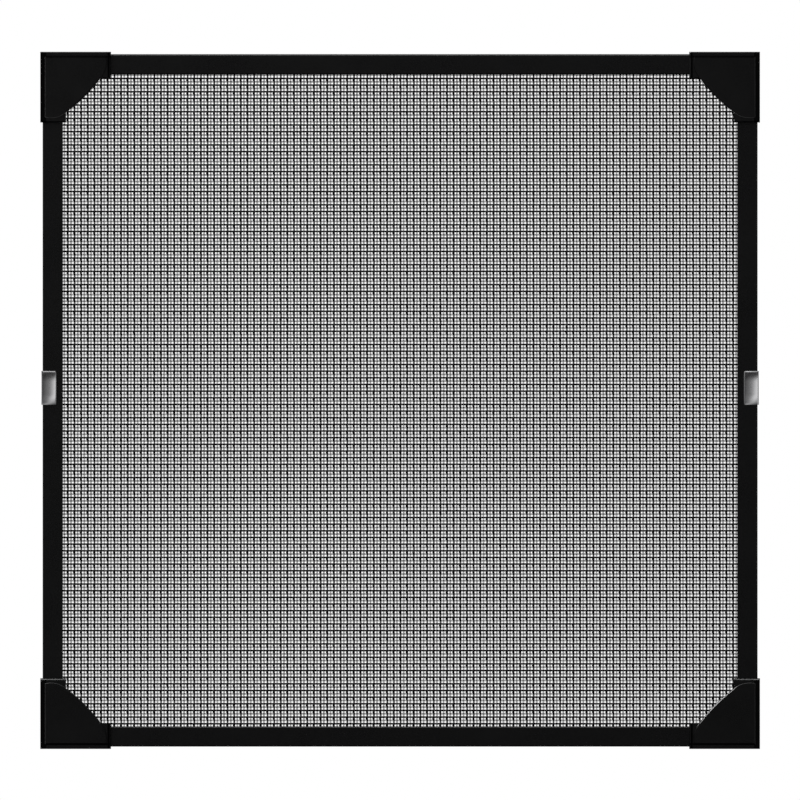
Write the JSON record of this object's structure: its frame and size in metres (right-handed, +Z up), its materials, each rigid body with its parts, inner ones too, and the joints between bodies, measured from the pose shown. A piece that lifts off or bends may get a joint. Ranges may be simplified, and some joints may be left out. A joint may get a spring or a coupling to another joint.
{
  "type": "window screen frame",
  "caption": "Flat window insect screen: hollow rails joined by moulded corner brackets, with mesh held in a rear groove by cord and a steel clip on each side.",
  "frame": {"origin": "middle of the bottom edge, centred in the thickness", "axes": "+X across the width, +Y from the front face to the back, +Z up"},
  "size_m": [0.6754, 0.0116, 0.6544],
  "materials": {
    "rail_paint": "satin black powder coat on aluminium",
    "corner_plastic": "fine moulded grain, black",
    "mesh": "black coated glass-fibre strands",
    "spline_cord": "ribbed black cord",
    "clip_steel": "bright spring steel"
  },
  "bodies": {
    "root": {"bottom_rail": "rail_paint", "right_rail": "rail_paint", "top_rail": "rail_paint", "left_rail": "rail_paint", "bottom_left_corner": "corner_plastic", "bottom_right_corner": "corner_plastic", "top_right_corner": "corner_plastic", "top_left_corner": "corner_plastic", "mesh_panel": "mesh", "bottom_spline": "spline_cord", "right_spline": "spline_cord", "top_spline": "spline_cord", "left_spline": "spline_cord", "right_clip": "clip_steel", "left_clip": "clip_steel"}
  },
  "joints": []
}
